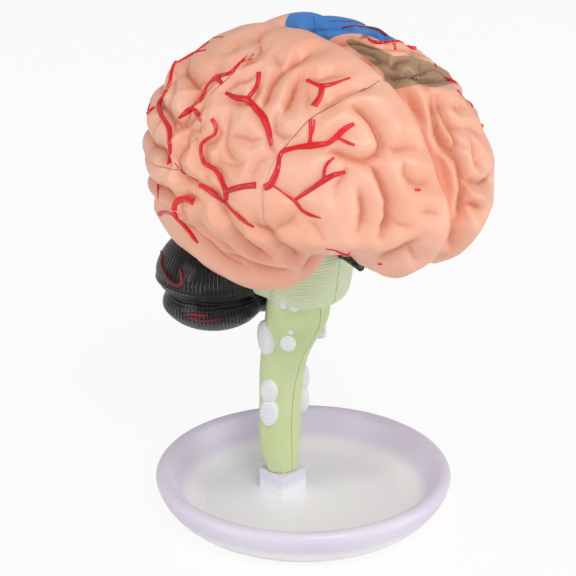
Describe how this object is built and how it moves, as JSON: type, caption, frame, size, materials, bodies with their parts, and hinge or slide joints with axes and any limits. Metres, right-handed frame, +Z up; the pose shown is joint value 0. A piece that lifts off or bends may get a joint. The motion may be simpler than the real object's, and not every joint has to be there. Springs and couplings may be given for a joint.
{
  "type": "brain anatomy model",
  "caption": "Take-apart teaching model of the human brain, split into lobes, cerebellum and brainstem, plugged upright into a shallow round dish stand.",
  "frame": {"origin": "centre of the dish's flat underside", "axes": "+Z up, forehead toward -Y, the subject's right side toward -X"},
  "size_m": [0.0738, 0.0836, 0.1216],
  "materials": {
    "stand_lilac": "moulded, slightly milky, smooth",
    "cortex_pink": "soft satin moulding with red painted vessels; blue and brown fields on the left side",
    "stem_green": "satin moulding with white painted root pads",
    "cerebellum_black": "glossy black paint over fine ridges, dark red lines",
    "limbic_cream": "satin moulding",
    "thalamus_yellow": "satin moulding",
    "putamen_blue": "satin moulding",
    "ventricle_violet": "satin moulding",
    "hippocampus_orange": "satin moulding"
  },
  "bodies": {
    "stand": {"dish_stand": "stand_lilac"},
    "core": {"brainstem_right": "stem_green", "brainstem_left": "stem_green", "limbic_lobe_right": "limbic_cream", "limbic_lobe_left": "limbic_cream", "thalamus_right": "thalamus_yellow", "thalamus_left": "thalamus_yellow", "putamen_right": "putamen_blue", "putamen_left": "putamen_blue", "lateral_ventricle_right": "ventricle_violet", "lateral_ventricle_left": "ventricle_violet", "hippocampus_right": "hippocampus_orange", "hippocampus_left": "hippocampus_orange", "optic_chiasm": "cerebellum_black"},
    "frontal_right": {"frontal_lobe_right": "cortex_pink"},
    "parietal_right": {"parietal_lobe_right": "cortex_pink"},
    "occipital_right": {"occipital_lobe_right": "cortex_pink"},
    "temporal_right": {"temporal_lobe_right": "cortex_pink"},
    "cerebellum_right": {"cerebellum_right": "cerebellum_black"},
    "frontal_left": {"frontal_lobe_left": "cortex_pink"},
    "parietal_left": {"parietal_lobe_left": "cortex_pink"},
    "occipital_left": {"occipital_lobe_left": "cortex_pink"},
    "temporal_left": {"temporal_lobe_left": "cortex_pink"},
    "cerebellum_left": {"cerebellum_left": "cerebellum_black"}
  },
  "joints": [
    {"name": "brain_lift", "type": "slide", "parent": "stand", "child": "core", "axis": [0, 0, 1], "range_m": [0, 0.014]},
    {"name": "frontal_right_pull", "type": "slide", "parent": "core", "child": "frontal_right", "axis": [0, -1, 0], "range_m": [0, 0.02]},
    {"name": "parietal_right_pull", "type": "slide", "parent": "core", "child": "parietal_right", "axis": [-1, 0, 0], "range_m": [0, 0.022]},
    {"name": "occipital_right_pull", "type": "slide", "parent": "core", "child": "occipital_right", "axis": [-1, 0, 0], "range_m": [0, 0.022]},
    {"name": "temporal_right_pull", "type": "slide", "parent": "core", "child": "temporal_right", "axis": [-1, 0, 0], "range_m": [0, 0.022]},
    {"name": "cerebellum_right_pull", "type": "slide", "parent": "core", "child": "cerebellum_right", "axis": [0, 1, 0], "range_m": [0, 0.014]},
    {"name": "frontal_left_pull", "type": "slide", "parent": "core", "child": "frontal_left", "axis": [0, -1, 0], "range_m": [0, 0.02]},
    {"name": "parietal_left_pull", "type": "slide", "parent": "core", "child": "parietal_left", "axis": [1, 0, 0], "range_m": [0, 0.022]},
    {"name": "occipital_left_pull", "type": "slide", "parent": "core", "child": "occipital_left", "axis": [1, 0, 0], "range_m": [0, 0.022]},
    {"name": "temporal_left_pull", "type": "slide", "parent": "core", "child": "temporal_left", "axis": [1, 0, 0], "range_m": [0, 0.022]},
    {"name": "cerebellum_left_pull", "type": "slide", "parent": "core", "child": "cerebellum_left", "axis": [0, 1, 0], "range_m": [0, 0.014]}
  ]
}
